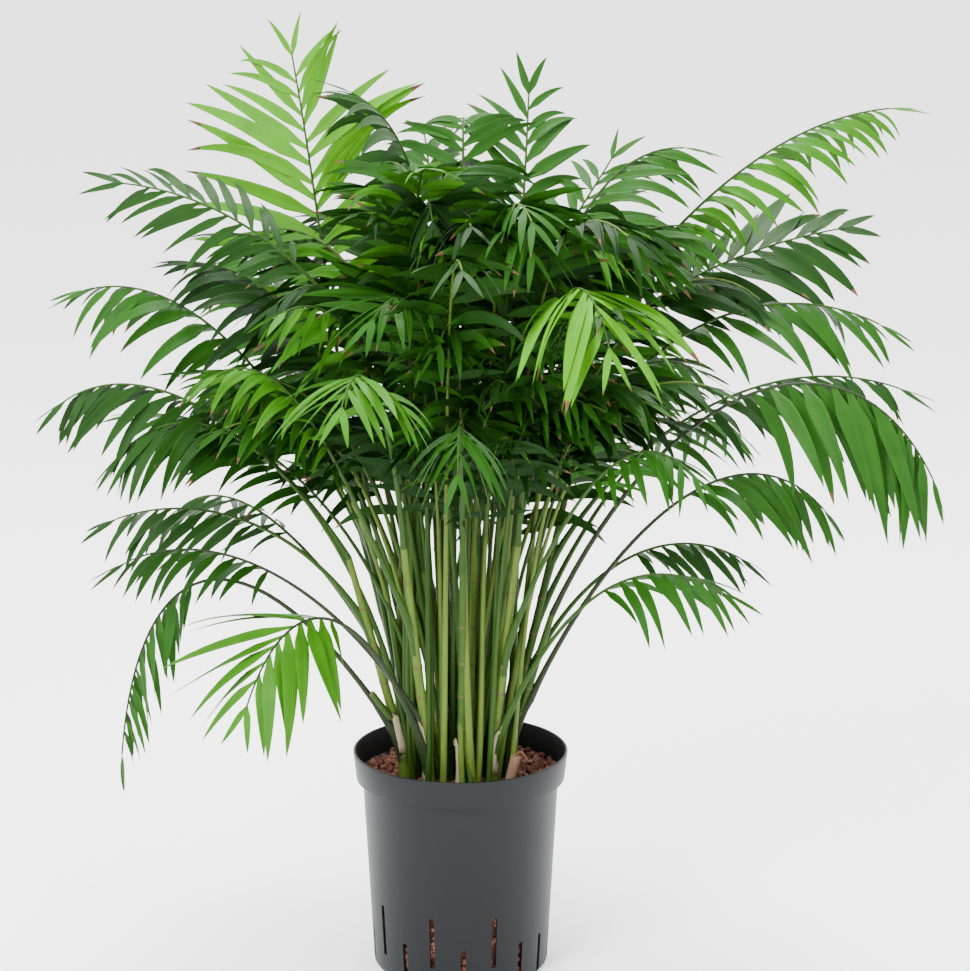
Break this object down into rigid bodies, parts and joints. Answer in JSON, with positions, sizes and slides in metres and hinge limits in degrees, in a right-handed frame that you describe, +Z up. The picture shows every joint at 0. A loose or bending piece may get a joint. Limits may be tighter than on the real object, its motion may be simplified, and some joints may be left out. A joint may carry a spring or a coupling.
{
  "type": "potted parlor palm",
  "caption": "Bushy potted palm with slender green canes and arching feathery fronds, growing from clay granules in a plain dark slotted pot.",
  "frame": {"origin": "middle of the pot's flat underside", "axes": "+Z up along the pot's axis, -Y towards the side seen in the picture, +X to the right as seen from there"},
  "size_m": [0.736, 0.6158, 0.7952],
  "materials": {
    "pot_plastic": "satin",
    "clay_granules": "rough",
    "cane_green": "satin",
    "leaf_green": "satin"
  },
  "bodies": {
    "root": {"cane_back": "cane_green", "cane_back_right": "cane_green", "cane_front": "cane_green", "cane_front_left": "cane_green", "cane_front_right": "cane_green", "cane_inner_back": "cane_green", "cane_inner_front": "cane_green", "cane_inner_left": "cane_green", "cane_inner_right": "cane_green", "cane_left": "cane_green", "cane_left_back": "cane_green", "cane_right": "cane_green", "cane_right_back": "cane_green", "clay_granules": "clay_granules", "foliage_mass_back": "leaf_green", "foliage_mass_front": "leaf_green", "foliage_mass_left": "leaf_green", "foliage_mass_right": "leaf_green", "foliage_mass_top": "leaf_green", "frond_back": "leaf_green", "frond_back_high": "leaf_green", "frond_back_left": "leaf_green", "frond_back_left_low": "leaf_green", "frond_back_low": "leaf_green", "frond_back_right": "leaf_green", "frond_back_right_low": "leaf_green", "frond_front_high": "leaf_green", "frond_front_left": "leaf_green", "frond_front_low": "leaf_green", "frond_front_right_fall": "leaf_green", "frond_front_right_low": "leaf_green", "frond_front_right_rise": "leaf_green", "frond_left_bright": "leaf_green", "frond_left_broad": "leaf_green", "frond_left_fan_fall": "leaf_green", "frond_left_fan_rise": "leaf_green", "frond_left_high": "leaf_green", "frond_left_high_back": "leaf_green", "frond_left_low": "leaf_green", "frond_left_low_front": "leaf_green", "frond_left_mid": "leaf_green", "frond_left_weeping_fall": "leaf_green", "frond_left_weeping_rise": "leaf_green", "frond_right_arch_fall": "leaf_green", "frond_right_arch_rise": "leaf_green", "frond_right_broad": "leaf_green", "frond_right_high": "leaf_green", "frond_right_low_back": "leaf_green", "frond_right_low_front": "leaf_green", "frond_right_mid": "leaf_green", "frond_right_weeping_fall": "leaf_green", "frond_right_weeping_rise": "leaf_green", "frond_top_centre": "leaf_green", "frond_top_centre_right": "leaf_green", "frond_top_front": "leaf_green", "frond_top_inner": "leaf_green", "frond_top_left": "leaf_green", "frond_top_right": "leaf_green", "frond_top_right_inner": "leaf_green", "pot": "pot_plastic"}
  },
  "joints": []
}
